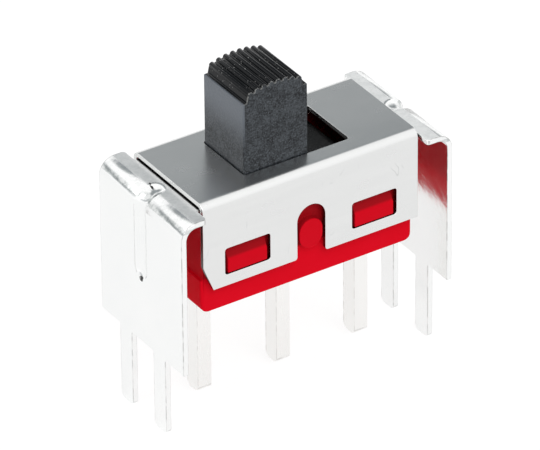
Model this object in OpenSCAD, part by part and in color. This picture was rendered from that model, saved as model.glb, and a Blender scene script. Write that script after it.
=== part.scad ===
// Miniature slide switch for a printed circuit board: a folded steel cover snapped over a red
// moulded base, a saddle bracket with four board pins, and a black slider that rocks the
// contact inside through a sprung plunger.
// Millimetres. X runs along the slider's travel, +Z is up. The origin is where the middle
// terminal's axis meets the top of the board, level with the bottom edges of the bracket's legs.

/* [Cover] */
// Length of the cover
cover_len = 12.7; // [12.3:0.1:13]
// Width over the two skirts
cover_w = 6.35; // [6.2:0.05:6.8]
// Height of the cover's top face above the board
cover_top = 9.05; // [8.8:0.05:9.6]
// Thickness of the cover's sheet
cover_t = 0.25; // [0.2:0.05:0.35]
// Outer radius of the cover's two long bends
cover_bend = 0.45; // [0.4:0.05:0.7]
// Height of the skirts' lower edges above the board
skirt_z = 3.97; // [3.7:0.05:4.2]
// Length of a snap window
window_len = 2.66; // [2.5:0.02:2.9]
// Height of a snap window
window_h = 1.52; // [1.4:0.02:1.7]
// Corner radius of the windows and the slot
window_r = 0.16; // [0.05:0.01:0.25]
// Width of the arched notch in each skirt
notch_w = 1.66; // [1.5:0.02:2]
// Height of the arch's crown above the board
notch_top = 6.93; // [6.7:0.01:7.3]
// Length of the cut corner on each skirt
corner_cut_x = 0.58; // [0:0.02:0.8]
// Height of the cut corner on each skirt
corner_cut_z = 1.45; // [0.5:0.05:1.8]

/* [Slider] */
// How far the slider travels
travel = 2.35; // [1.8:0.05:2.5]
// Length of the knob along the travel
knob_len = 3.75; // [3.4:0.05:4]
// Width of the knob at the cover
knob_w = 3.66; // [3.4:0.02:3.8]
// How much narrower the knob is at its top, on each side
knob_draft = 0.04; // [0:0.01:0.15]
// Height of the knob's side corners above the board
knob_z = 13.0; // [12:0.1:14]
// Height of the crown above the side corners
crown_h = 0.8; // [0.5:0.02:0.9]
// Radius of the crown
crown_r = 4.5; // [3:0.1:5]
// Width of the flat ledge at each end of the crown
crown_ledge = 0.22; // [0.1:0.02:0.35]
// How far the crown's ends lean in above the ledges
crown_lean = 0.16; // [0:0.02:0.3]
// Number of ribs across the crown
ribs = 8; // [5:1:9]
// Distance from rib to rib
rib_pitch = 0.405; // [0.34:0.005:0.41]
// Radius of a rib's rounded top
rib_r = 0.15; // [0.1:0.01:0.17]
// Radius of the knob's upright edges
knob_edge = 0.1; // [0.05:0.01:0.3]
// Length of the slider's shoulder
shoulder_len = 8.2; // [7.6:0.1:8.4]
// Thickness of the slider's shoulder
shoulder_t = 0.9; // [0.7:0.05:1.2]
// Size across the slider's square spring boss
boss_w = 2.8; // [2.5:0.1:3]
// How far the spring boss reaches below the shoulder
boss_drop = 1.1; // [0.6:0.1:1.3]
// Corner radius of the shoulder, the boss and the hollow they lie in
hollow_r = 0.3; // [0.1:0.05:0.5]
// Length of the spring bore above the shoulder's top
bore_rise = 2.9; // [2:0.1:3.4]

/* [Base] */
// Length of the base
base_len = 12.5; // [12.2:0.1:12.7]
// Width of the base
base_w = 5.5; // [5.2:0.05:5.6]
// Height of the base's lower face above the board
base_z = 2.5; // [2.2:0.1:2.9]
// Radius of the base's upright corners
base_edge = 0.15; // [0.1:0.05:0.7]
// Radius of the base's lower corners, seen from the front
base_foot = 0.45; // [0.2:0.05:0.7]
// Thickness of the base's long walls beside the shoulder
wall_side = 0.55; // [0.4:0.05:0.6]
// Extra thickness of the long walls below the shoulder
wall_ledge = 0.4; // [0.3:0.05:0.5]
// Thickness of the base's floor
floor_t = 0.9; // [0.7:0.1:1.1]
// How far the upper end faces are set back from the foot
end_step = 0.12; // [0:0.02:0.2]
// Height of the foot at each end
foot_h = 1.9; // [1.2:0.1:2.4]
// Room past the end terminals, in the lower hollow and in the seal's pocket
end_room = 0.3; // [0.2:0.05:0.4]
// Depth of the pocket that holds the terminal seal
seal_depth = 0.5; // [0.3:0.1:0.8]
// Length of a snap lug
lug_len = 2.3; // [2:0.05:2.4]
// Distance between the centres of the two lugs on a side
lug_pitch = 7.5; // [7.2:0.02:7.8]
// Height of the lugs' lower edges above the foot
lug_rise = 0.25; // [0.2:0.05:0.4]
// Height of a lug's flat face
lug_face_h = 0.75; // [0.5:0.05:0.8]
// Height of a lug's sloping lead-in
lug_ramp_h = 0.54; // [0.4:0.02:0.74]
// How far the lugs and the locating boss stand out
lug_out = 0.4; // [0.3:0.01:0.42]
// Width of the locating boss in the arch
boss_arch_w = 1.36; // [1.1:0.02:1.4]
// Height of the locating boss
boss_arch_h = 1.65; // [1.3:0.05:1.9]
// Height of the locating boss's lower edge above the base's lower face
boss_arch_z = 1.9; // [1.6:0.05:2.2]

/* [Support bracket] */
// Length over the bracket's two legs
bracket_len = 16.0; // [15.4:0.1:16.6]
// Width of the legs
bracket_w = 7.62; // [7.4:0.02:8]
// Thickness of the bracket's sheet
bracket_t = 0.3; // [0.25:0.05:0.35]
// Outer radius of the bracket's bends
bracket_bend = 0.9; // [0.6:0.05:1.1]
// Gap between the cover's end and the wide part of each flange
flange_gap = 0.15; // [0.05:0.05:0.4]
// Corner radius where the saddle widens into a flange
flange_r = 0.2; // [0.1:0.05:0.3]
// Distance between the two board pins of a leg
pin_pitch = 3.1; // [2.6:0.1:3.6]
// Width of a board pin
pin_w = 1.14; // [0.9:0.02:1.4]
// Length of a board pin below the top of the board
pin_len = 4.4; // [3:0.1:5]
// Corner radius of a board pin's tip
pin_tip_r = 0.3; // [0.1:0.05:0.4]
// Width of the pressed bead down the middle of each leg
bead_w = 1.15; // [0.8:0.05:1.4]
// Depth of the bead
bead_d = 0.22; // [0.1:0.01:0.25]
// Height of the bead's lower end above the board
bead_z = 3.75; // [3:0.05:4.5]
// Room between the slot and the saddle's hole, at each end
hole_room_x = 0.4; // [0.2:0.05:0.6]
// Room between the slot and the saddle's hole, at each side
hole_room_y = 0.15; // [0.1:0.05:0.3]

/* [Terminals and contacts] */
// Distance from terminal to terminal
pitch = 4.7; // [4.6:0.01:4.75]
// Thickness of a terminal, along the travel
term_t = 0.78; // [0.6:0.01:0.8]
// Width of a terminal, across the travel
term_w = 1.05; // [0.8:0.05:1.2]
// Length of the terminals below the top of the board
term_len = 3.85; // [3:0.05:4.4]
// Corner radius of a terminal's tip
term_tip_r = 0.36; // [0.1:0.02:0.4]
// Thickness of the terminals' heads inside the base
head_t = 0.4; // [0.3:0.05:0.5]
// Width of the two end terminals' heads
head_w = 1.8; // [1.4:0.1:2.4]
// Radius of a fixed contact
contact_r = 0.5; // [0.4:0.05:0.6]
// Height of a fixed contact above its head
contact_h = 0.25; // [0.15:0.05:0.35]
// Width of the rim round a fixed contact on its head, and round a bump on its contact
contact_rim = 0.1; // [0.05:0.05:0.2]
// Distance from the pivot to each fixed contact
contact_x = 4.05; // [3.9:0.05:4.1]
// Half angle of the rocker's swing, which is also the rise of each wing
rock_deg = 5; // [4:0.5:6]
// Length of a wing of the rocker
wing_len = 4.5; // [4.4:0.05:4.6]
// Width of the rocker
rocker_w = 2.0; // [1.6:0.1:2.2]
// Thickness of the rocker
rocker_t = 0.35; // [0.25:0.05:0.4]
// Height of the rocker's contact bumps
bump_h = 0.15; // [0.1:0.05:0.2]
// Radius of the rocker's side journals
journal_r = 0.28; // [0.2:0.02:0.3]
// Thickness of the cradle's cheeks
cheek_t = 0.35; // [0.3:0.05:0.4]
// Length of the cradle, along the travel
cradle_len = 1.3; // [1:0.1:1.6]
// How far the cheeks reach above the pivot
cheek_rise = 0.05; // [0:0.01:0.1]

/* [Plunger and spring] */
// Radius of the plunger and of its round tip
plunger_r = 0.8; // [0.6:0.05:0.9]
// Length of the plunger from tip to shoulder
plunger_len = 2.1; // [1.8:0.1:2.3]
// Length of the plunger's spigot inside the spring
spigot_len = 0.8; // [0.4:0.1:1]
// Radius of the spring from its axis to the wire's centre
spring_r = 0.54; // [0.5:0.01:0.6]
// Diameter of the spring's wire
wire_d = 0.2; // [0.12:0.02:0.22]
// Number of turns of the spring
turns = 7; // [5:1:8]

/* [Clearances] */
// Clearance under a plate or beside a flat that slides
slide_gap = 0.05; // [0.03:0.01:0.08]
// Room between the cover's top and the bracket's saddle
saddle_gap = 0.1; // [0.05:0.01:0.12]
// Clearance between the knob and the slot's sides
slot_gap = 0.06; // [0.04:0.01:0.1]
// Radial clearance of the plunger and the journals
running_gap = 0.05; // [0.03:0.01:0.08]
// Clearance between parts that are fixed to each other
seat_gap = 0.02; // [0.01:0.01:0.04]

/* [Hidden] */
$fn = 48;
// Overlap that joins one shape to the next
eps = 0.02;
// How far a cut runs past the face it opens
past = 1;

// Heights through the stack, from the cover down
cover_under = cover_top - cover_t;
saddle_top = cover_under - saddle_gap;
saddle_under = saddle_top - bracket_t;
base_top = saddle_under;
shoulder_top = base_top - slide_gap;
shoulder_under = shoulder_top - shoulder_t;
ledge_z = shoulder_under - slide_gap;
boss_under = shoulder_under - boss_drop;
bore_top = shoulder_top + bore_rise;
seal_top = base_z + seal_depth;
floor_top = seal_top + floor_t;
head_top = floor_top + head_t;
contact_top = head_top + contact_h;
pivot_z = contact_top + slide_gap + bump_h + rocker_t / 2;
plunger_tip = pivot_z + rocker_t / 2 + slide_gap;
plunger_top = plunger_tip + plunger_len;

// The slot and the slider's place at rest, at the left end of its travel
slot_len = knob_len + travel + 2 * slide_gap;
slot_w = knob_w + 2 * slot_gap;
slider_x = -travel / 2;

// The base's two hollows: one for the shoulder, and a narrower one under it for the contacts
hollow_len = shoulder_len + travel + 4 * slide_gap;
hollow_w = base_w - 2 * wall_side;
shoulder_w = hollow_w - 2 * slide_gap;
well_len = 2 * (pitch + end_room) + term_t;
well_w = hollow_w - 2 * wall_ledge;

// The skirts' windows catch under the lugs
lug_z = base_z + foot_h + lug_rise;
lug_catch = 0.05;
window_z = lug_z - lug_catch;
skirt_in = cover_w / 2 - cover_t;
lug_root = wall_side / 2;

// The saddle's narrow part lies between the skirts, and its hole stands back from the slot
neck_w = 2 * (skirt_in - 2 * slide_gap);
flange_x = cover_len / 2 + flange_gap;
hole_len = slot_len + 2 * hole_room_x;
hole_w = slot_w + 2 * hole_room_y;
leg_x = bracket_len / 2;

// The bead is the mark of a round tool whose axis follows the bend at a distance from the sheet
bead_r = (bead_w * bead_w / 4 + bead_d * bead_d) / (2 * bead_d);
bead_axis = bracket_bend + bead_r - bead_d;

cheek_y = rocker_w / 2 + 2 * running_gap;
cradle_w = 2 * (cheek_y + cheek_t);
cheek_top = pivot_z + cheek_rise;

// ---- Shapes that several pieces use

// A rectangle centred on the origin with four round corners
module round_rect(l, w, r) {
    square([l - 2 * r, w], center = true);
    square([l, w - 2 * r], center = true);
    for (x = [-1, 1]) for (y = [-1, 1]) translate([x * (l / 2 - r), y * (w / 2 - r)]) circle(r = r);
}

// A strip that hangs from y = top down to y = -len, with round corners at its lower end
module round_tip(w, top, len, r) {
    translate([-w / 2, -len + r]) square([w, top + len - r]);
    translate([-w / 2 + r, -len]) square([w - 2 * r, r + eps]);
    for (x = [-1, 1]) translate([x * (w / 2 - r), -len + r]) circle(r = r);
}

// Turns a drawing in X and Z into a body with its depth along Y
module along_y(depth) {
    rotate([90, 0, 0]) linear_extrude(depth, center = true) children();
}

// Turns a drawing in Y and Z into a body with its depth along X
module along_x(depth) {
    rotate([90, 0, 90]) linear_extrude(depth, center = true) children();
}

// ---- Cover

module cover_section(w, top, r) {
    translate([-w / 2, 0]) square([w, top - r]);
    translate([-w / 2 + r, 0]) square([w - 2 * r, top]);
    for (y = [-1, 1]) translate([y * (w / 2 - r), top - r]) circle(r = r);
}

// One window, cut through both skirts
module window_cut(x) {
    translate([x, 0, window_z + window_h / 2])
        along_y(cover_w + past) round_rect(window_len, window_h, window_r);
}

// The arched notch with its mouth rounded off
module notch_cut() {
    r = notch_w / 2;
    along_y(cover_w + past) {
        translate([0, notch_top - r]) circle(r = r);
        translate([-r, skirt_z - past]) square([notch_w, notch_top - r - skirt_z + past]);
        for (x = [-1, 1]) translate([x * r, skirt_z]) difference() {
            translate([-window_r, -past]) square([2 * window_r, window_r + past]);
            translate([x * window_r, window_r]) circle(r = window_r);
        }
    }
}

module cover() {
    color("lightsteelblue") difference() {
        along_x(cover_len) difference() {
            cover_section(cover_w, cover_top, cover_bend);
            cover_section(2 * skirt_in, cover_under, cover_bend - cover_t);
            translate([-cover_w, 0]) square([2 * cover_w, skirt_z]);
        }
        translate([0, 0, cover_under - eps]) linear_extrude(cover_t + past)
            round_rect(slot_len, slot_w, window_r);
        for (x = [-1, 1]) window_cut(x * lug_pitch / 2);
        notch_cut();
        along_y(cover_w + past) polygon([
            [-cover_len / 2 - past, skirt_z - past],
            [-cover_len / 2 + corner_cut_x, skirt_z - past],
            [-cover_len / 2 + corner_cut_x, skirt_z],
            [-cover_len / 2, skirt_z + corner_cut_z],
            [-cover_len / 2 - past, skirt_z + corner_cut_z]
        ]);
    }
}

// ---- Base

// The front view of the base: lower corners round, upper end faces set back
module base_outline() {
    l = base_len / 2;
    h = base_top - base_z;
    translate([-l, base_foot]) square([base_len, foot_h - base_foot]);
    translate([-l + base_foot, 0]) square([base_len - 2 * base_foot, foot_h]);
    translate([-l + end_step, base_foot]) square([base_len - 2 * end_step, h - base_foot]);
    for (x = [-1, 1]) translate([x * (l - base_foot), base_foot]) circle(r = base_foot);
}

// A snap lug: a sloping lead-in over a flat face, square underneath, to catch the window's edge
module lug(x) {
    y = base_w / 2;
    translate([x, 0, 0]) along_x(lug_len) polygon([
        [y - lug_root, lug_z],
        [y + lug_out, lug_z],
        [y + lug_out, lug_z + lug_face_h],
        [y, lug_z + lug_face_h + lug_ramp_h],
        [y - lug_root, lug_z + lug_face_h + lug_ramp_h]
    ]);
}

// The boss that stands in the cover's arched notch, round at both ends
module arch_boss() {
    r = boss_arch_w / 2;
    translate([0, (base_w + lug_out - lug_root) / 2, base_z + boss_arch_z]) along_y(lug_out + lug_root) {
        translate([-r, r]) square([boss_arch_w, boss_arch_h - 2 * r]);
        for (z = [r, boss_arch_h - r]) translate([0, z]) circle(r = r);
    }
}

module terminal_slots(gap) {
    for (i = [-1:1]) translate([i * pitch, 0, base_z - past])
        linear_extrude(floor_top - base_z + 2 * past)
            square([term_t + 2 * gap, term_w + 2 * gap], center = true);
}

module base() {
    color("crimson") difference() {
        union() {
            intersection() {
                translate([0, 0, base_z]) along_y(base_w + past) base_outline();
                translate([0, 0, base_z - past]) linear_extrude(base_top - base_z + past)
                    round_rect(base_len, base_w, base_edge);
            }
            for (side = [0, 1]) mirror([0, side, 0]) {
                for (x = [-1, 1]) lug(x * lug_pitch / 2);
                arch_boss();
            }
        }
        translate([0, 0, ledge_z]) linear_extrude(base_top - ledge_z + past)
            round_rect(hollow_len, hollow_w, hollow_r);
        translate([0, 0, floor_top]) linear_extrude(ledge_z - floor_top + eps)
            round_rect(well_len, well_w, hollow_r);
        translate([0, 0, base_z - past]) linear_extrude(seal_depth + past)
            round_rect(well_len, well_w, hollow_r);
        terminal_slots(seat_gap);
    }
}

module terminal_seal() {
    color("darkgoldenrod") difference() {
        translate([0, 0, base_z]) linear_extrude(seal_depth)
            round_rect(well_len - 2 * seat_gap, well_w - 2 * seat_gap, hollow_r - seat_gap);
        terminal_slots(seat_gap);
    }
}

// ---- Support bracket

// The folded strip's front view, cut to thickness by taking away the same outline further in
module saddle_outline(inset) {
    l = leg_x - inset;
    top = saddle_top - inset;
    r = max(bracket_bend - inset, 0.05);
    low = pin_len + past + inset;
    translate([-l, -low]) square([2 * l, top - r + low]);
    translate([-l + r, -low]) square([2 * (l - r), top + low]);
    for (x = [-1, 1]) translate([x * (l - r), top - r]) circle(r = r);
}

// The layer of the strip between two insets
module saddle_layer(outer, inner, w) {
    along_y(w) difference() {
        saddle_outline(outer);
        saddle_outline(inner);
    }
}

// The side view of a leg with its two board pins
module leg_view() {
    translate([-bracket_w / 2, 0]) square([bracket_w, saddle_top + past]);
    for (y = [-1, 1]) translate([y * pin_pitch / 2, 0]) round_tip(pin_w, eps, pin_len, pin_tip_r);
}

// The path of the bead's tool, r round: down the leg, round the bend, and to a stop on the flange
module bead_path(r) {
    corner_x = leg_x - bracket_bend;
    corner_z = saddle_top - bracket_bend;
    stop_z = bead_z + bead_w / 2;
    for (side = [0, 1]) mirror([side, 0, 0]) {
        translate([corner_x, 0, corner_z + bead_axis]) sphere(r = r);
        translate([corner_x, 0, corner_z]) intersection() {
            rotate([90, 0, 0]) rotate_extrude() translate([bead_axis, 0]) circle(r = r);
            translate([0, -r, 0]) cube([bead_axis + r, 2 * r, bead_axis + r]);
        }
        translate([corner_x + bead_axis, 0, stop_z]) cylinder(r = r, h = corner_z - stop_z);
        translate([corner_x + bead_axis, 0, stop_z]) sphere(r = r);
    }
}

// What is cut away on one side of the neck, with the corners of both flanges rounded off
module neck_cut() {
    translate([-flange_x, neck_w / 2]) square([2 * flange_x, bracket_w / 2]);
    for (x = [-1, 1]) translate([x * flange_x, bracket_w / 2 - flange_r]) difference() {
        translate([-flange_r, 0]) square([2 * flange_r, flange_r + past]);
        translate([x * flange_r, 0]) circle(r = flange_r);
    }
}

module support_bracket() {
    color("gainsboro") difference() {
        union() {
            intersection() {
                saddle_layer(0, bracket_t, bracket_w);
                along_x(bracket_len + past) leg_view();
            }
            intersection() {
                saddle_layer(bracket_t / 2, bracket_t + bead_d + eps, bracket_w);
                bead_path(bead_r + bracket_t);
            }
        }
        bead_path(bead_r);
        translate([0, 0, saddle_under - past]) linear_extrude(bracket_t + 2 * past) {
            for (side = [0, 1]) mirror([0, side]) neck_cut();
            round_rect(hole_len, hole_w, hollow_r);
        }
    }
}

// ---- Slider, plunger and spring

// The knob's front view: straight sides, a ledge at each end, and ribs along the crown's arc
module knob_view() {
    half = knob_len / 2;
    crest = knob_z + crown_h;
    end_x = half - crown_ledge;
    core_r = crown_r - rib_r;
    translate([-half, shoulder_top - eps]) square([knob_len, knob_z - shoulder_top + eps]);
    intersection() {
        translate([0, crest - crown_r]) circle(r = core_r, $fn = 96);
        polygon([
            [-end_x, knob_z - eps],
            [end_x, knob_z - eps],
            [end_x - crown_lean, crest],
            [-end_x + crown_lean, crest]
        ]);
    }
    for (i = [0:ribs - 1]) {
        x = (i - (ribs - 1) / 2) * rib_pitch;
        translate([x, crest - crown_r + sqrt(core_r * core_r - x * x)]) circle(r = rib_r, $fn = 20);
    }
}

module slider_at_middle() {
    difference() {
        union() {
            intersection() {
                along_y(knob_w + past) knob_view();
                translate([0, 0, shoulder_top - past]) linear_extrude(knob_z + past)
                    round_rect(knob_len, knob_w, knob_edge);
                along_x(knob_len + past) polygon([
                    [-knob_w / 2, shoulder_top - past],
                    [knob_w / 2, shoulder_top - past],
                    [knob_w / 2, cover_top],
                    [knob_w / 2 - knob_draft, knob_z],
                    [knob_w / 2 - knob_draft, knob_z + past],
                    [-knob_w / 2 + knob_draft, knob_z + past],
                    [-knob_w / 2 + knob_draft, knob_z],
                    [-knob_w / 2, cover_top]
                ]);
            }
            translate([0, 0, shoulder_under]) linear_extrude(shoulder_t)
                round_rect(shoulder_len, shoulder_w, hollow_r);
            translate([0, 0, boss_under]) linear_extrude(boss_drop + eps) round_rect(boss_w, boss_w, hollow_r);
        }
        translate([0, 0, boss_under - past])
            cylinder(r = plunger_r + running_gap, h = bore_top - boss_under + past);
    }
}

module slider() {
    color("#26282b") translate([slider_x, 0, 0]) slider_at_middle();
}

module plunger() {
    spigot_r = spring_r - wire_d / 2 - running_gap;
    color("ivory") translate([slider_x, 0, plunger_tip]) rotate_extrude() {
        intersection() {
            translate([0, plunger_r]) circle(r = plunger_r);
            square([plunger_r, plunger_r]);
        }
        translate([0, plunger_r - eps]) square([plunger_r, plunger_len - plunger_r + eps]);
        translate([0, plunger_len - eps]) square([spigot_r, spigot_len + eps]);
    }
}

// A ring of points around the wire at angle a along the coil
function wire_ring(a, z, n) = [
    for (k = [0:n - 1]) let (b = 360 * k / n, r = spring_r + wire_d / 2 * cos(b))
        [r * cos(a), r * sin(a), z + wire_d / 2 * sin(b)]
];

module plunger_spring() {
    sides = 8;
    steps = turns * 16;
    low = plunger_top + wire_d / 2;
    rise = bore_top - plunger_top - wire_d;
    points = [for (i = [0:steps]) each wire_ring(i * 360 / 16, low + rise * i / steps, sides)];
    walls = [for (i = [0:steps - 1]) for (k = [0:sides - 1])
        [i * sides + k, (i + 1) * sides + k, (i + 1) * sides + (k + 1) % sides, i * sides + (k + 1) % sides]];
    first = [for (k = [0:sides - 1]) k];
    last = [for (k = [0:sides - 1]) steps * sides + sides - 1 - k];
    color("silver") translate([slider_x, 0, 0]) polyhedron(points, concat([first], walls, [last]));
}

// ---- Contacts and terminals

// Two wings that rise from the journals, tipped so that the left wing lies level on its contact
module rocker_contact() {
    color("goldenrod") translate([0, 0, pivot_z]) rotate([0, -rock_deg, 0]) {
        for (side = [0, 1]) mirror([side, 0, 0]) rotate([0, -rock_deg, 0]) {
            translate([0, -rocker_w / 2, -rocker_t / 2]) cube([wing_len, rocker_w, rocker_t]);
            translate([contact_x, 0, -rocker_t / 2 - bump_h])
                cylinder(r = contact_r - contact_rim, h = bump_h + eps);
        }
        rotate([90, 0, 0]) cylinder(r = journal_r, h = cradle_w - 2 * seat_gap, center = true);
    }
}

// A terminal's leg below its head, with a rounded tip
module terminal_leg() {
    along_x(term_t) round_tip(term_w, floor_top + eps, term_len, term_tip_r);
}

module end_terminal() {
    inner_x = contact_x - contact_r - contact_rim;
    difference() {
        union() {
            translate([pitch, 0, 0]) terminal_leg();
            translate([inner_x, -head_w / 2, floor_top]) cube([pitch + term_t / 2 - inner_x, head_w, head_t]);
        }
        translate([contact_x, 0, floor_top - eps]) cylinder(r = contact_r / 2 + seat_gap, h = head_t + past);
    }
}

module terminal_right() {
    color("whitesmoke") end_terminal();
}

module terminal_left() {
    color("whitesmoke") mirror([1, 0, 0]) end_terminal();
}

// The middle terminal ends in a cradle: two cheeks whose notches carry the rocker's journals
module terminal_center() {
    color("whitesmoke") difference() {
        union() {
            terminal_leg();
            translate([-cradle_len / 2, -cradle_w / 2, floor_top]) cube([cradle_len, cradle_w, head_t]);
            for (y = [-1, 1]) translate([0, y * (cheek_y + cheek_t / 2), (floor_top + cheek_top) / 2])
                cube([cradle_len, cheek_t, cheek_top - floor_top], center = true);
        }
        translate([0, 0, pivot_z]) rotate([90, 0, 0])
            cylinder(r = journal_r + running_gap, h = cradle_w + past, center = true);
    }
}

// A fixed contact: a round head on a shank that is riveted into the terminal's head
module fixed_contact() {
    translate([contact_x, 0, 0]) {
        translate([0, 0, floor_top]) cylinder(r = contact_r / 2, h = head_t + eps);
        translate([0, 0, head_top]) cylinder(r = contact_r, h = contact_h);
    }
}

module contact_right() {
    color("silver") fixed_contact();
}

module contact_left() {
    color("silver") mirror([1, 0, 0]) fixed_contact();
}

cover();
base();
support_bracket();
slider();
plunger();
plunger_spring();
rocker_contact();
terminal_left();
terminal_center();
terminal_right();
contact_left();
contact_right();
terminal_seal();
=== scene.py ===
from math import cos, radians, sin

import bmesh
import bpy
from mathutils import Matrix, Vector


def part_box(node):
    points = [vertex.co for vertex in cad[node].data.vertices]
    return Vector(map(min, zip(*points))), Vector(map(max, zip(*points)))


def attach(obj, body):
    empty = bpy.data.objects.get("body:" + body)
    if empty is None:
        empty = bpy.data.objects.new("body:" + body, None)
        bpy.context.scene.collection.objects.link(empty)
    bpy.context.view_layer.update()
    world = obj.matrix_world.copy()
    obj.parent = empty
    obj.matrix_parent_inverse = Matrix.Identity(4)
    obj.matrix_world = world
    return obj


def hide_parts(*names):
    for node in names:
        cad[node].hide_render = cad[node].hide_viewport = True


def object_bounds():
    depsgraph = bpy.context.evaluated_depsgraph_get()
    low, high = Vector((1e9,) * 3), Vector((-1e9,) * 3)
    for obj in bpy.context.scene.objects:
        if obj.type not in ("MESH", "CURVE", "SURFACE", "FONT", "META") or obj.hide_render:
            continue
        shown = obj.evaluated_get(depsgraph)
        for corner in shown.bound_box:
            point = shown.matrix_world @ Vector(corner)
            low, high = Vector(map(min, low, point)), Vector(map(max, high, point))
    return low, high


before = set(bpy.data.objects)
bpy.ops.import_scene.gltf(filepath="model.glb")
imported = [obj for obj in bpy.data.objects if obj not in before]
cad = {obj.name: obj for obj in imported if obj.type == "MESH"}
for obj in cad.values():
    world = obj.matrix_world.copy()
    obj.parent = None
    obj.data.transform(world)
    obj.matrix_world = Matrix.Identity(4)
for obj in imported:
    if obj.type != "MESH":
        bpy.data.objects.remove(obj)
cad_low, cad_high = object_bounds()

# ---- Base
# The red base is one injection moulding, a box with a floor that holds the terminals and four
# snap lugs. Its walls are painted darker where the cover hides them, a painted shade, and the
# hollow and the rim are painted near black, a painted shade in the gaps.

mm = 0.001
X, Y, Z = (1, 0, 0), (0, 1, 0), (0, 0, 1)


class Field:
    """A value or colour that varies over a piece; operators add Math nodes to its material."""

    def __init__(self, tree, socket):
        self.tree, self.socket = tree, socket

    def node(self, kind, settings=None, sockets=None, output=0):
        """A new node with its settings and with values or links on its sockets."""
        made = self.tree.nodes.new(kind)
        for name, value in (settings or {}).items():
            setattr(made, name, value)
        for name, value in (sockets or {}).items():
            if isinstance(value, Field):
                self.tree.links.new(value.socket, made.inputs[name])
            else:
                made.inputs[name].default_value = value
        return Field(self.tree, made.outputs[output])

    def calc(self, operation, first, second):
        """One Math node on two values."""
        return self.node("ShaderNodeMath", {"operation": operation}, {0: first, 1: second})

    def __add__(self, other):
        return self.calc("ADD", self, other)

    def __sub__(self, other):
        return self.calc("SUBTRACT", self, other)

    def __rsub__(self, other):
        return self.calc("SUBTRACT", other, self)

    def __mul__(self, other):
        return self.calc("MULTIPLY", self, other)

    def __or__(self, other):
        """The larger of the two: where masks meet, the stronger one counts."""
        return self.calc("MAXIMUM", self, other)

    __radd__, __rmul__, __ror__ = __add__, __mul__, __or__

    def size(self):
        """This value without its sign."""
        return self.calc("ABSOLUTE", self, 0)

    def grain(self, per_metre, detail=2.0, stretch=(1, 1, 1), rough=0.5):
        """Noise from 0 to 1 at this place on the piece, with that many features to the metre."""
        spread = self.node("ShaderNodeMapping", {"vector_type": "POINT"},
                           {"Vector": self, "Scale": stretch})
        return self.node("ShaderNodeTexNoise", {"noise_dimensions": "3D"},
                         {"Vector": spread, "Scale": per_metre, "Detail": detail,
                          "Roughness": rough})

    def between(self, low, high):
        """0 where this value is below low, 1 above high."""
        return self.node("ShaderNodeMapRange", {"interpolation_type": "SMOOTHSTEP"},
                         {"Value": self, "From Min": low, "From Max": high})

    def band(self, rise, fall):
        """1 between two soft edges, each given by where it starts and ends, and 0 outside them."""
        return self.between(*rise) * (1 - self.between(*fall))

    def along(self, way):
        """How far this place or heading lies along a fixed way."""
        return self.node("ShaderNodeVectorMath", {"operation": "DOT_PRODUCT"},
                         {0: self, 1: way}, 1)

    def from_line(self, way, point):
        """How far this place is from a line through that point; way is 0 along it and 1 across."""
        flat = self.node("ShaderNodeVectorMath", {"operation": "MULTIPLY"}, {0: self, 1: way})
        level = tuple(a * b for a, b in zip(way, point))
        return self.node("ShaderNodeVectorMath", {"operation": "DISTANCE"}, {0: flat, 1: level}, 1)

    def colours(self, first, second):
        """The first colour where this value is 0, the second where it is 1."""
        return self.node("ShaderNodeMix", {"data_type": "RGBA"},
                         {0: self, 6: (*first, 1) if isinstance(first, tuple) else first,
                          7: (*second, 1) if isinstance(second, tuple) else second}, 2)

    def bumps(self, depth, strength=1.0):
        """Normals for a surface that this value raises by up to depth metres."""
        return self.node("ShaderNodeBump", {},
                         {"Height": self, "Distance": depth, "Strength": strength})

    def feed(self, shader, socket):
        """Links this value or colour to one of a shader's sockets."""
        self.tree.links.new(self.socket, shader.inputs[socket])


def new_finish(name, **constants):
    """A finish with its constants on the shader's own sockets, and the place on the piece."""
    finish = bpy.data.materials.new(name)
    finish.use_nodes = True
    shader = finish.node_tree.nodes["Principled BSDF"]
    for socket, value in constants.items():
        shader.inputs[socket.replace("_", " ")].default_value = value
    place = finish.node_tree.nodes.new("ShaderNodeTexCoord")
    return finish, shader, Field(finish.node_tree, place.outputs["Object"])


def broken_edges(name, body, finish, width):
    """A copy of a CAD piece with its sharp edges broken to that width, in its place."""
    merge_gap, sharp_turn, flat_turn = 0.0001 * mm, radians(40), radians(0.5)
    mesh = bmesh.new()
    mesh.from_mesh(cad[name].data)
    bmesh.ops.remove_doubles(mesh, verts=mesh.verts, dist=merge_gap)
    sharp = [edge for edge in mesh.edges if edge.calc_face_angle(0) > sharp_turn]
    bmesh.ops.bevel(mesh, geom=sharp, offset=width, offset_type="OFFSET", affect="EDGES",
                    segments=2, profile=0.5, material=-1, clamp_overlap=False)
    bmesh.ops.dissolve_limit(mesh, angle_limit=flat_turn, verts=mesh.verts, edges=mesh.edges)
    for face in mesh.faces:
        face.smooth, face.material_index = True, 0
    piece = bpy.data.objects.new(name + "_finished", bpy.data.meshes.new(name + "_finished"))
    mesh.to_mesh(piece.data)
    mesh.free()
    for attribute in [layer for layer in piece.data.attributes if layer.name == "custom_normal"]:
        piece.data.attributes.remove(attribute)
    bpy.context.collection.objects.link(piece)
    piece.modifiers.new("flat_faces", "WEIGHTED_NORMAL").keep_sharp = False
    piece.data.materials.append(finish)
    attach(piece, body)
    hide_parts(name)


deep_red, bright_red = (0.82, 0.0016, 0.012), (0.90, 0.0036, 0.020)
covered_shade_red, gap_shade_red = (0.43, 0.0060, 0.012), (0.10, 0.0010, 0.002)
base_low, base_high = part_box("base")
foot_top, rim_top = base_low.z + 1.9 * mm, base_high.z
wall_in, lug_out = 2.35 * mm, 3.03 * mm
hollow_end, wall_end = 5.6 * mm, 5.9 * mm

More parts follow.
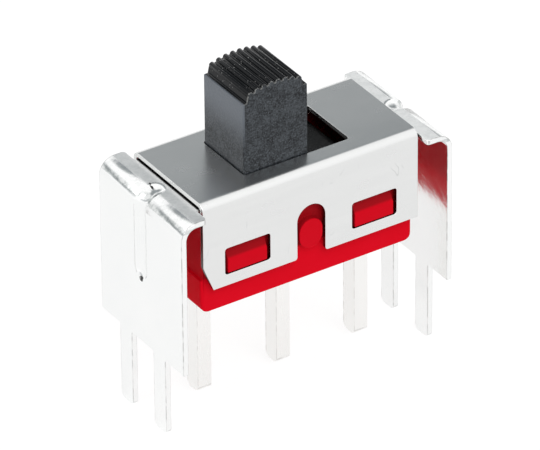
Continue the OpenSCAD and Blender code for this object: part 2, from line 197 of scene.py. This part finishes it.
red_moulding, shader, place = new_finish("red_moulding", IOR=1.5, Specular_IOR_Level=0.03)
across, along, height = place.along(Y).size(), place.along(X).size(), place.along(Z)
inside = ((1 - across.between(wall_in, wall_in + 0.1 * mm))
          * (1 - along.between(hollow_end, hollow_end + 0.2 * mm)))
# Painted shade: the hollow inside the walls and the rim under the cover are painted near black.
gap_shade = inside | height.between(rim_top - 0.3 * mm, rim_top - 0.25 * mm)
# The lugs' faces and the ends stand out of the cover's shade, so less painted shade lies on them.
lug_face = across.between(lug_out, lug_out + 0.11 * mm)
end_face = along.between(wall_end, wall_end + 0.3 * mm)
# Painted shade: the walls are painted darker where the cover hides them.
cover_shade = ((1 - lug_face * 0.75) * (1 - end_face * 0.62)
          * height.between(foot_top + 0.02 * mm, foot_top + 0.12 * mm))
moulded = place.grain(420, 3).colours(deep_red, bright_red)
gap_shade.colours(cover_shade.colours(moulded, covered_shade_red), gap_shade_red).feed(shader, "Base Color")
(place.grain(5200, 3) * 0.16 + 0.36).feed(shader, "Roughness")
place.grain(14000, 2).bumps(0.006 * mm, 0.5).feed(shader, "Normal")
broken_edges("base", "frame", red_moulding, 0.04 * mm)

# ---- Terminals and their seal
# Three flat legs stamped from brass strip and silver plated, pushed up through the base's floor.
# A broken dark line along their sheared corners is a painted reflection. A pour of brown resin in
# the base's underside closes the slots round them.


def sheared_corner(distance, edge, width):
    """1 on a line that wide beside a sheared corner, where this distance comes up to edge."""
    return distance.band((edge - width, edge - width + 0.02 * mm),
                         (edge - 0.01 * mm, edge - 0.002 * mm))


def coat(finish, *names):
    """Gives a finish to CAD pieces that keep their own mesh."""
    for name in names:
        for slot in cad[name].material_slots:
            slot.material = finish


silver_low, silver_high = (0.925, 0.922, 0.905), (0.965, 0.96, 0.945)
edge_reflection_silver = (0.50, 0.49, 0.46)
terminal_width, terminal_end = 1.05 * mm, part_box("terminal_center")[0].z

silvered_strip, shader, place = new_finish("silvered_strip", Metallic=1.0)
drawn = place.grain(2600, 3, (1, 1, 0.08))
patchy = place.grain(1900, 2).between(0.42, 0.58)
# Painted reflection: a broken dark line along the sheared corners.
corner = (sheared_corner(place.along(Y).size(), terminal_width / 2, 0.08 * mm)
          * (patchy * 0.4 + 0.1) * place.along(Z).between(terminal_end, terminal_end + 0.35 * mm))
corner.colours(drawn.colours(silver_low, silver_high), edge_reflection_silver).feed(shader, "Base Color")
(drawn * 0.14 + 0.22).feed(shader, "Roughness")
drawn.bumps(0.005 * mm, 0.4).feed(shader, "Normal")
coat(silvered_strip, "terminal_left", "terminal_center", "terminal_right")

dark_brown, honey_brown = (0.16, 0.075, 0.022), (0.30, 0.16, 0.055)

brown_resin, shader, place = new_finish("brown_resin", Roughness=0.3, Coat_Weight=0.3)
place.grain(900, 4).colours(dark_brown, honey_brown).feed(shader, "Base Color")
place.grain(1500, 3).bumps(0.02 * mm, 0.4).feed(shader, "Normal")
coat(brown_resin, "terminal_seal")

# ---- Contacts
# Two silver rivets stand in the end terminals' heads, and the rocker that bridges them is
# stamped from the same plated strip.

tarnished_silver, clean_silver = (0.78, 0.76, 0.70), (0.92, 0.91, 0.87)

silver_contact, shader, place = new_finish("silver_contact", Metallic=1.0)
tarnish = place.grain(4200, 4)
tarnish.colours(tarnished_silver, clean_silver).feed(shader, "Base Color")
(tarnish * 0.2 + 0.2).feed(shader, "Roughness")
coat(silver_contact, "contact_left", "contact_right", "rocker_contact")

# ---- Plunger and spring
# A turned nylon pin, pressed on the rocker by a coil of hard-drawn wire in the slider's bore. Its
# round nose slides along the rocker's wings and tips it over.

cream_white, milk_white = (0.80, 0.78, 0.70), (0.86, 0.84, 0.78)
dull_steel, drawn_steel = (0.50, 0.50, 0.52), (0.68, 0.68, 0.69)

white_nylon, shader, place = new_finish("white_nylon", Roughness=0.3, Subsurface_Weight=0.1)
place.grain(2000, 2).colours(cream_white, milk_white).feed(shader, "Base Color")
coat(white_nylon, "plunger")

spring_wire, shader, place = new_finish("spring_wire", Metallic=1.0)
die_marks = place.grain(6000, 2)
die_marks.colours(dull_steel, drawn_steel).feed(shader, "Base Color")
(die_marks * 0.15 + 0.25).feed(shader, "Roughness")
coat(spring_wire, "plunger_spring")

# ---- Slider
# The knob and its shoulder are one moulding in black glass-filled nylon. The filler leaves a fine
# mottle on the flat sides. The upper left side is painted lighter, a painted sheen, the crown's
# front edge is scuffed to a pale, broken line, and flecks of dust lie between the ribs. Below the
# cover's top the black is painted darker, a painted shade in the slot.

black, slot_shade_black = (0.0024, 0.0034, 0.0050), (0.0010, 0.0011, 0.0012)
mottled_grey, sheen_grey = (0.086, 0.097, 0.109), (0.150, 0.168, 0.193)
scuffed_grey, dust_grey = (0.38, 0.385, 0.37), (0.34, 0.34, 0.33)
cover_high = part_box("cover")[1]
slider_low, slider_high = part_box("slider")
cover_top, knob_top = cover_high.z, slider_high.z
half_long, half_deep = 3.75 * mm / 2, 3.66 * mm / 2

black_nylon, shader, place = new_finish("black_nylon", IOR=1.3)
height, depth = place.along(Z), place.along(Y)
side = place.along(X) - (slider_low.x + slider_high.x) / 2
under_cover = 1 - height.between(cover_top - 0.08 * mm, cover_top)
flat_sides = (depth.size().between(half_deep - 0.08 * mm, half_deep - 0.06 * mm)
              | side.size().between(half_long - 0.06 * mm, half_long - 0.02 * mm))
cloud, speck = place.grain(1300, 2), place.grain(10500, 2, rough=0.6)
mottle = place.grain(4200, 3, rough=0.6)
filler = ((cloud * 0.18 + mottle * 0.30 + speck * 0.52).between(0.33, 0.67) * 0.9
          + speck.between(0.59, 0.68) * 0.6) * flat_sides
# Painted sheen: the upper left side is painted lighter.
left_sheen = ((1 - side.between(0.04 * mm - half_long, 0.12 * mm - half_long))
           * height.between(cover_top + 1.0 * mm, cover_top + 3.4 * mm))
crown_front = 0.04 * mm - half_deep
scuffed = (depth.band((crown_front + 0.002 * mm, crown_front + 0.008 * mm),
                      (crown_front + 0.05 * mm, crown_front + 0.10 * mm))
           * height.between(knob_top - 0.85 * mm, knob_top - 0.75 * mm)
           * speck.between(0.36, 0.54))
dust = (place.grain(8200, 1).between(0.69, 0.76) * (1 - flat_sides)
        * height.between(cover_top + 2.8 * mm, cover_top + 2.9 * mm))
mottle_and_sheen = left_sheen.colours(filler.colours(black, mottled_grey), sheen_grey)
dust_and_sheen = dust.colours((scuffed * 0.6).colours(mottle_and_sheen, scuffed_grey), dust_grey)
# Painted shade: below the cover's top the black is painted darker.
under_cover.colours(dust_and_sheen, slot_shade_black).feed(shader, "Base Color")
(mottle * 0.08 + 0.05 + flat_sides * 0.22 - under_cover * 0.05).feed(shader, "Roughness")
pits = (mottle * 0.5 + speck * 0.5) * (flat_sides * 0.75 + 0.25)
pits.bumps(0.04 * mm, 0.6).feed(shader, "Normal")
broken_edges("slider", "slider", black_nylon, 0.03 * mm)

# ---- Support bracket
# One strip of tinned steel, folded down at both ends, with two board pins on each leg and a bead
# pressed over each bend to stiffen it. The tin is bright and wavy, hazy on the flats, with fainter
# clouds over the flange, a painted reflection in a grey band low on each bend and along the
# sheared sides, and painted shadow beside the cover's ends and at the beads' ends.

tin_low, tin_high = (0.905, 0.918, 0.914), (0.966, 0.969, 0.963)
cloud_and_band_grey, edge_reflection_grey = (0.48, 0.505, 0.50), (0.46, 0.46, 0.45)
painted_shadow_black = (0.018, 0.018, 0.018)
bracket_low, bracket_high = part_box("support_bracket")
leg_out, leg_side, saddle_top = bracket_high
pin_width, pin_pitch, pin_end = 1.14 * mm, 3.1 * mm, bracket_low.z
bead_foot, bead_stop = 3.75 * mm, (-7.05 * mm, 0.4 * mm, 0)

bright_tin, shader, place = new_finish("bright_tin", Metallic=0.98)
along, across, height = place.along(X).size(), place.along(Y).size(), place.along(Z)
flow = place.grain(700, 4, rough=0.6)
flat_top = height.between(saddle_top - 0.016 * mm, saddle_top - 0.004 * mm)

# Painted shadow lies in the gap beside the cover, at each bead's foot, and at the left bead's top
# end.
cover_gap_shadow = flat_top * (1 - along.between(cover_high.x + 0.03 * mm, cover_high.x + 0.12 * mm))
foot_spot = 1 - place.from_line((0, 1, 1), (0, 0, bead_foot)).between(0.11 * mm, 0.19 * mm)
bead_foot_shadow = (foot_spot * place.grain(5200, 1, (1, 1, 0.4)).between(0.47, 0.53)
         * along.between(leg_out - 0.10 * mm, leg_out - 0.05 * mm))
bead_end_shadow = ((1 - place.from_line((1, 0.3, 0), bead_stop).between(0.04 * mm, 0.09 * mm))
        * place.grain(6000, 1).between(0.42, 0.50))

# A broken dark line along the sheared sides of the legs and of the pins is a painted reflection.
patchy = place.grain(1900, 2).between(0.42, 0.58)
leg_sides = sheared_corner(across, leg_side, 0.06 * mm) * (patchy * 0.55 + 0.3)
pin_sides = (sheared_corner((across - pin_pitch / 2).size(), pin_width / 2, 0.07 * mm)
             * height.band((pin_end, pin_end + 0.4 * mm), (-0.05 * mm, 0)) * (patchy * 0.4 + 0.25))

# A grey band low on each bend is a painted reflection of the dark strip low at the back left, and
# fainter clouds of random tone lie over the flange.
blotch = (place.grain(2300, 3, rough=0.6) * 0.6 + place.grain(7000, 2) * 0.4).between(0.42, 0.60)
reflected_band = (height.band((saddle_top - 0.50 * mm, saddle_top - 0.42 * mm),
                         (saddle_top - 0.30 * mm, saddle_top - 0.20 * mm))
             * (blotch * 0.50 + 0.42))
clouds = height.between(saddle_top - 0.4 * mm, saddle_top - 0.2 * mm) * blotch * 0.16
clouds_and_band = (clouds | reflected_band) * along.between(6.6 * mm, 6.7 * mm)

# Painted reflection in the grey band low on each bend; the clouds are random tone.
tin = clouds_and_band.colours(flow.colours(tin_low, tin_high), cloud_and_band_grey)
# Painted reflection: dark lines along the sheared sides.
sheared = (leg_sides | pin_sides).colours(tin, edge_reflection_grey)
# Painted shadow in the gap beside the cover and at the beads.
(cover_gap_shadow | bead_foot_shadow | bead_end_shadow).colours(sheared, painted_shadow_black).feed(shader, "Base Color")
haze = flat_top * (place.along(X).between(-1 * mm, 1 * mm) * 0.16 + 0.26)
(flow * 0.10 + 0.13 + haze).feed(shader, "Roughness")
waves = place.grain(1500, 2) * 0.8 + place.grain(4200, 2) * 0.2
waves.bumps(0.04 * mm, 0.5).feed(shader, "Normal")
broken_edges("support_bracket", "frame", bright_tin, 0.04 * mm)

# ---- Cover
# A folded lid of tin-plated steel, rolled satin, whose skirts snap over the base's lugs. The cut
# edges of its skirts are painted dark, a painted shade of the gaps behind them, and handling has
# left small smudges on it.

bright_satin, smudged_satin = (0.815, 0.82, 0.815), (0.60, 0.61, 0.61)
cut_edge_shade_grey = (0.10, 0.095, 0.09)
cover_out = cover_high.y

satin_tin, shader, place = new_finish("satin_tin", Metallic=1.0)
across, height = place.along(Y).size(), place.along(Z)
rolled, fingered = place.grain(2400, 3, (0.12, 1, 1)), place.grain(700, 4, rough=0.6)
streak = 1 - (place.grain(1300, 1, (1, 1, 0.5)) - 0.5).size().between(0.004, 0.016)
smudge = (streak * place.grain(800, 2).between(0.58, 0.68)
          * (1 - height.between(cover_top - 0.9 * mm, cover_top - 0.5 * mm)))
# Painted shade: the cut edges through the skirts are painted dark.
cut_edge_shade = (across.band((cover_out - 0.24 * mm, cover_out - 0.22 * mm),
                       (cover_out - 0.04 * mm, cover_out - 0.02 * mm))
           * (1 - height.between(cover_top - 0.7 * mm, cover_top - 0.6 * mm)))
satin = (smudge * 0.5 + rolled * 0.2).colours(bright_satin, smudged_satin)
cut_edge_shade.colours(satin, cut_edge_shade_grey).feed(shader, "Base Color")
(rolled * 0.06 + fingered * 0.06 + 0.20).feed(shader, "Roughness")
# The sheet sinks a little from the middle of the top towards the front bend.
forward = place.along((0, -1 / cover_out, 0)) | 0
(forward * forward * -1.0 + rolled * 0.03).bumps(0.05 * mm).feed(shader, "Normal")
broken_edges("cover", "frame", satin_tin, 0.025 * mm)

# ---- Stand
# A white sweep under the switch in a white tent. Two dim patches high at the back are what the
# flat tops mirror, a dark strip low at the back left is what the leg and the left bend mirror,
# and two soft lamps light it at a plain level.


def ways_seen(tree):
    """1 on rays from the camera, and 1 on those and on mirrored and passed rays."""
    paths = tree.nodes.new("ShaderNodeLightPath")
    camera_ray, glossy_ray, through_ray = (
        Field(tree, paths.outputs[name])
        for name in ("Is Camera Ray", "Is Glossy Ray", "Is Transmission Ray"))
    return camera_ray, camera_ray | glossy_ray | through_ray


def heading_of(turn, rise):
    """The heading that many degrees to the right of straight back, and above the floor."""
    turn, rise = radians(turn), radians(rise)
    return Vector((sin(turn) * cos(rise), cos(turn) * cos(rise), sin(rise)))


floor_half, matt_grey = 1.2, (0.3, 0.3, 0.3, 1)
floor_glow, floor_mirrored, floor_direct = 0.43, 0.33, 0.07
tent_glow, tent_looked_at = 0.62, 0.48

mesh = bmesh.new()
bmesh.ops.create_grid(mesh, x_segments=1, y_segments=1, size=floor_half)
bmesh.ops.translate(mesh, verts=mesh.verts, vec=(0, 0, cad_low.z))
sweep = bpy.data.objects.new("sweep", bpy.data.meshes.new("sweep"))
mesh.to_mesh(sweep.data)
mesh.free()
bpy.context.collection.objects.link(sweep)

white_sweep = bpy.data.materials.new("white_sweep")
white_sweep.use_nodes = True
tree = white_sweep.node_tree
tree.nodes.clear()
camera_ray, looked_at = ways_seen(tree)
matt = camera_ray.node("ShaderNodeBsdfDiffuse", {}, {"Color": matt_grey})
strength = camera_ray * floor_direct + looked_at * floor_mirrored + floor_glow
glow = camera_ray.node("ShaderNodeEmission", {}, {"Color": (1, 1, 1, 1), "Strength": strength})
both = camera_ray.node("ShaderNodeAddShader", {}, {0: matt, 1: glow})
output = tree.nodes.new("ShaderNodeOutputMaterial")
tree.links.new(both.socket, output.inputs["Surface"])
sweep.data.materials.append(white_sweep)

tent = bpy.data.worlds.new("tent")
tent.use_nodes = True
tree = tent.node_tree
sky = tree.nodes["Background"]
camera_ray, looked_at = ways_seen(tree)
heading = Field(tree, tree.nodes.new("ShaderNodeTexCoord").outputs["Generated"])
right_patch = heading.along(heading_of(40, 42)).between(cos(radians(30)), cos(radians(3)))
left_patch = heading.along(heading_of(14, 43)).between(cos(radians(20)), cos(radians(8)))
low_strip = (heading.along(Z).band((0.06, 0.20), (0.27, 0.40))
             * heading.along(heading_of(-45, 0)).between(0.70, 0.92))
tone = (1, 1, 1)
for patch, grey in ((right_patch, (0.235, 0.255, 0.265)), (left_patch, (0.27, 0.29, 0.30)),
                    (low_strip, (0.42, 0.44, 0.45))):
    tone = (patch * (1 - camera_ray)).colours(tone, grey)
tone.feed(sky, "Color")
(looked_at * tent_looked_at + tent_glow).feed(sky, "Strength")
bpy.context.scene.world = tent

switch_middle = Vector((0, 0, 5 * mm))
for name, spot, size, power in (("front_lamp", (-0.05, -0.42, 0.42), 0.35, 0.9),
                                ("side_lamp", (-0.45, 0.05, 0.35), 0.3, 0.4)):
    lamp = bpy.data.objects.new(name, bpy.data.lights.new(name, "AREA"))
    lamp.data.size, lamp.data.energy = size, power
    lamp.location = spot
    lamp.rotation_mode = "QUATERNION"
    lamp.rotation_quaternion = (Vector(spot) - switch_middle).to_track_quat("Z", "Y")
    bpy.context.collection.objects.link(lamp)

# ---- Camera
# A long lens, 33 degrees round to the left and 33 degrees up. It is aimed a little to the left of
# the switch's middle and below it, so that the knob and all the pins are in view.

azimuth, elevation, roll = radians(-32.832), radians(32.587), radians(-0.541)
distance, lens, sensor = 0.3562, 476.5, 36
shift_left, shift_down = 0.3263 * mm, 0.8039 * mm
back = Vector((sin(azimuth) * cos(elevation), -cos(azimuth) * cos(elevation), sin(elevation)))
level = Vector((cos(azimuth), sin(azimuth), 0))
over = back.cross(level)
rightward = level * cos(roll) + over * sin(roll)
upright = over * cos(roll) - level * sin(roll)
aim = switch_middle - rightward * shift_left - upright * shift_down
eye = bpy.data.objects.new("eye", bpy.data.cameras.new("eye"))
eye.data.lens, eye.data.sensor_width = lens, sensor
eye.data.clip_start, eye.data.clip_end = 0.02, 10
turned = Matrix((rightward, upright, back)).transposed().to_4x4()
eye.matrix_world = Matrix.Translation(aim + back * distance) @ turned
bpy.context.collection.objects.link(eye)
bpy.context.scene.camera = eye
bpy.context.scene.view_settings.view_transform = "Standard"
